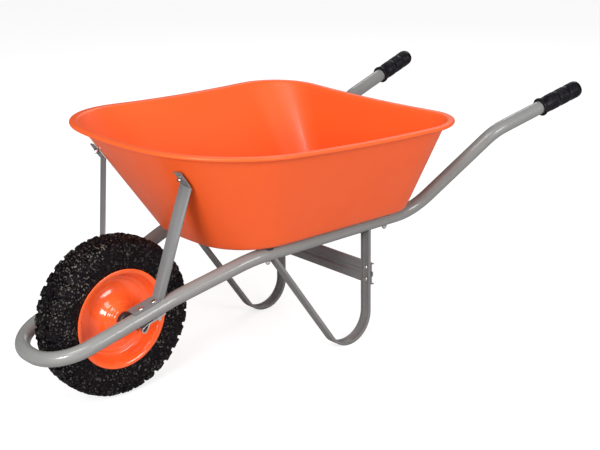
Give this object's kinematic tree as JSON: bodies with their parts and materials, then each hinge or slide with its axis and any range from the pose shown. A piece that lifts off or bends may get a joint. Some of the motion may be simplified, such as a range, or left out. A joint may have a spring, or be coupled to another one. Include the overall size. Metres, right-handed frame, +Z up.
{
  "type": "wheelbarrow",
  "caption": "Single-wheel wheelbarrow with a deep pressed tray, bent tube frame, stand legs, front struts and a pneumatic wheel.",
  "frame": {"origin": "middle of the bounding box, on the ground under the wheel and legs", "axes": "+X forward to the wheel, +Y to the user's left, +Z up"},
  "size_m": [1.4768, 0.7125, 0.5833],
  "materials": {
    "tray_paint": "semi-gloss powder coat",
    "frame_paint": "semi-gloss grey paint",
    "bracket_paint": "satin grey paint",
    "zinc": "bright zinc plate",
    "steel": "plain steel",
    "rim_paint": "gloss paint",
    "tyre_rubber": "matt, worn tread",
    "tube_rubber": "matt",
    "grip_rubber": "matt, ribbed",
    "black_plastic": "matt moulded"
  },
  "bodies": {
    "frame": {"axle": "steel", "axle_spacer_left": "black_plastic", "axle_spacer_right": "black_plastic", "axle_strap_left": "zinc", "axle_strap_right": "zinc", "brace_bolts": "zinc", "brace_nuts": "zinc", "brace_washers": "zinc", "cross_brace": "bracket_paint", "frame_tube": "frame_paint", "front_strut_left": "bracket_paint", "front_strut_right": "bracket_paint", "grip_left": "grip_rubber", "grip_right": "grip_rubber", "leg_left": "bracket_paint", "leg_right": "bracket_paint", "strap_bolts": "zinc", "strap_nuts": "zinc", "strap_washers": "zinc", "strut_rivets": "zinc", "strut_top_bolts": "zinc", "strut_top_nuts": "zinc", "strut_top_washers": "zinc", "tray": "tray_paint", "tray_bolts": "zinc", "tray_nuts": "zinc", "tray_pads": "tube_rubber", "tray_washers": "zinc"},
    "wheel": {"tyre": "tyre_rubber", "inner_tube": "tube_rubber", "rim_half_left": "rim_paint", "rim_half_right": "rim_paint", "hub_tube": "steel", "hub_bush_left": "black_plastic", "hub_bush_right": "black_plastic", "valve_stem": "steel", "valve_cap": "black_plastic"}
  },
  "joints": [
    {"name": "wheel_spin", "type": "hinge", "parent": "frame", "child": "wheel", "pos_m": [0.5106, 0, 0.18504], "axis": [0, 1, 0], "continuous": true}
  ]
}
